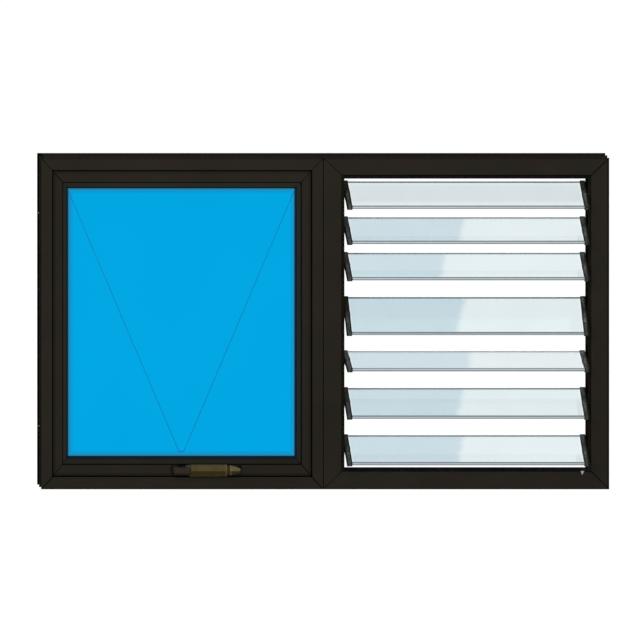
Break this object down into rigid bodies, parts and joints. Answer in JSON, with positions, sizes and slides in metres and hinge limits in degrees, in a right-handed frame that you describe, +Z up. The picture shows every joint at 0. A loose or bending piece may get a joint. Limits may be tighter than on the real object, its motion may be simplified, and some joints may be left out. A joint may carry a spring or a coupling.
{
  "type": "ventilator window with a top-hung light and a glass louvre light",
  "caption": "Ventilator window: two coupled mitred aluminium lights, one a top-hung blue-glazed sash with a lever handle, the other an open glass louvre with clips on side galleries.",
  "frame": {"origin": "middle of the underside of the sills, on the middle flange, half way through the frame depth", "axes": "+X to the right seen from the handle side, +Y away from that side through the frame, +Z up"},
  "size_m": [1.2, 0.1198, 0.7],
  "materials": {
    "bronze_frame": "satin dark bronze powder coat",
    "bronze_sash": "satin dark bronze powder coat",
    "bronze_bead": "satin dark bronze powder coat",
    "blue_pane": "blue tinted glass, clear polish",
    "louvre_glass": "clear float glass, ground long edges",
    "glazing_rubber": "matt black",
    "seal_rubber": "matt black",
    "coupler_aluminium": "dark bronze powder coat",
    "gallery_aluminium": "satin black-bronze powder coat",
    "link_aluminium": "anodised, satin",
    "clip_plastic": "moulded, slight sheen",
    "lever_black": "moulded, black",
    "lever_plastic": "moulded, pale grey",
    "handle_brown": "satin brown coat",
    "handle_gold": "satin bronze-gold coat"
  },
  "bodies": {
    "root": {"awning_head": "bronze_frame", "awning_left_jamb": "bronze_frame", "awning_pane": "blue_pane", "awning_right_jamb": "bronze_frame", "awning_sill": "bronze_frame", "bead_bottom": "bronze_bead", "bead_left": "bronze_bead", "bead_right": "bronze_bead", "bead_top": "bronze_bead", "blade_1": "louvre_glass", "blade_2": "louvre_glass", "blade_3": "louvre_glass", "blade_4": "louvre_glass", "blade_5": "louvre_glass", "blade_6": "louvre_glass", "blade_7": "louvre_glass", "clips_1": "clip_plastic", "clips_2": "clip_plastic", "clips_3": "clip_plastic", "clips_4": "clip_plastic", "clips_5": "clip_plastic", "clips_6": "clip_plastic", "clips_7": "clip_plastic", "coupling_bars": "coupler_aluminium", "gallery_left": "gallery_aluminium", "gallery_right": "gallery_aluminium", "glazing_gaskets": "glazing_rubber", "handle_base": "handle_brown", "handle_cap": "handle_brown", "handle_lever": "handle_gold", "head_seal": "seal_rubber", "lever_tab": "lever_plastic", "link_bar_left": "link_aluminium", "link_bar_right": "link_aluminium", "louvre_head": "bronze_frame", "louvre_left_jamb": "bronze_frame", "louvre_right_jamb": "bronze_frame", "louvre_sill": "bronze_frame", "operating_lever": "lever_black", "sash_bottom_rail": "bronze_sash", "sash_left_stile": "bronze_sash", "sash_right_stile": "bronze_sash", "sash_top_rail": "bronze_sash", "sill_seal": "seal_rubber", "weather_seal": "seal_rubber"}
  },
  "joints": []
}
